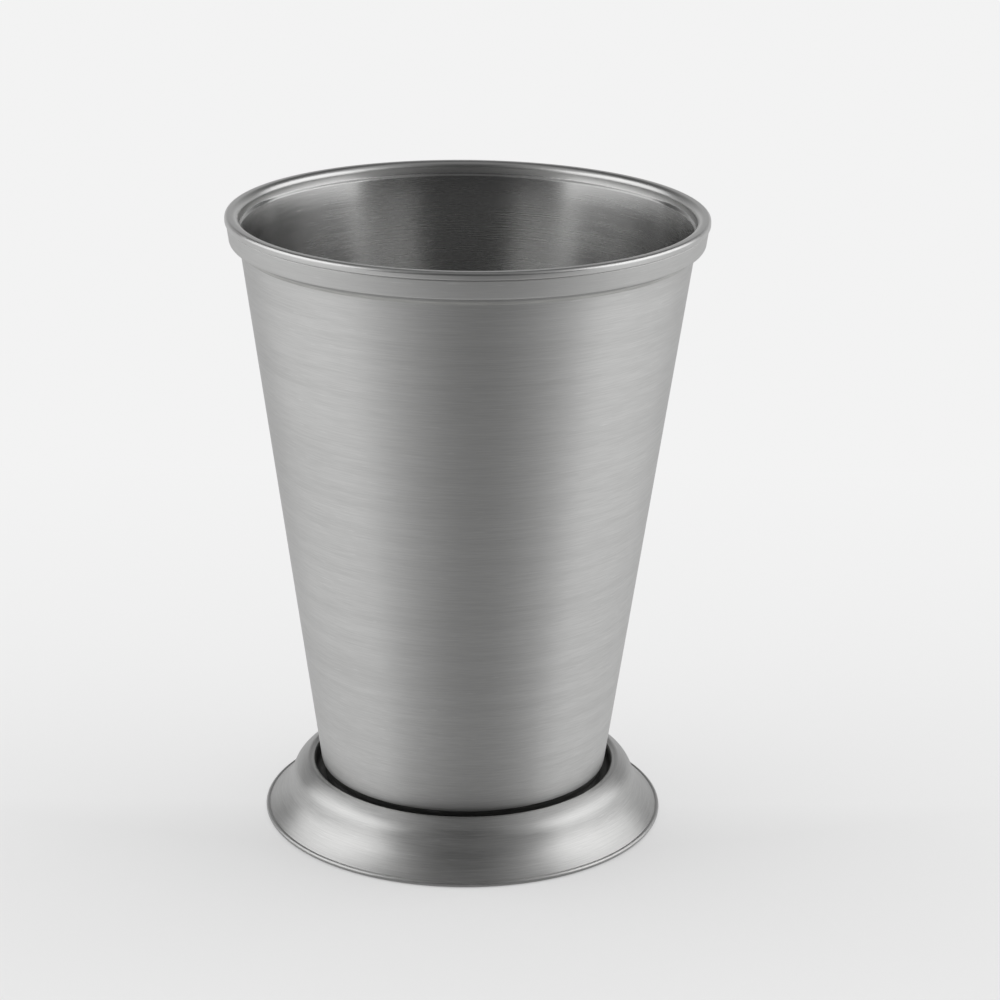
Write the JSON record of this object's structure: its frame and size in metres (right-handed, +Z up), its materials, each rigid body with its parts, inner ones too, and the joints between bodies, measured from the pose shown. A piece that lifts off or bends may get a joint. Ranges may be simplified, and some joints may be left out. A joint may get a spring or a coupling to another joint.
{
  "type": "julep cup",
  "caption": "Tapered metal drinking cup with a banded lip, standing on a flared ring foot with a beaded edge.",
  "frame": {"origin": "centre of the circle on which the foot stands, on the table", "axes": "+Z up along the cup's axis, towards the mouth; the cup is the same all round, so +X and +Y are free"},
  "size_m": [0.086, 0.086, 0.114],
  "materials": {
    "shell_steel": "satin, brushed round the wall",
    "band_steel": "satin, brushed round the band",
    "foot_steel": "soft satin, brushed round the foot",
    "braze_metal": "dressed braze, a little darker and duller than the sheet"
  },
  "bodies": {
    "root": {"cup_shell": "shell_steel", "rim_band": "band_steel", "rim_braze": "braze_metal", "foot_ring": "foot_steel", "foot_braze": "braze_metal"}
  },
  "joints": []
}
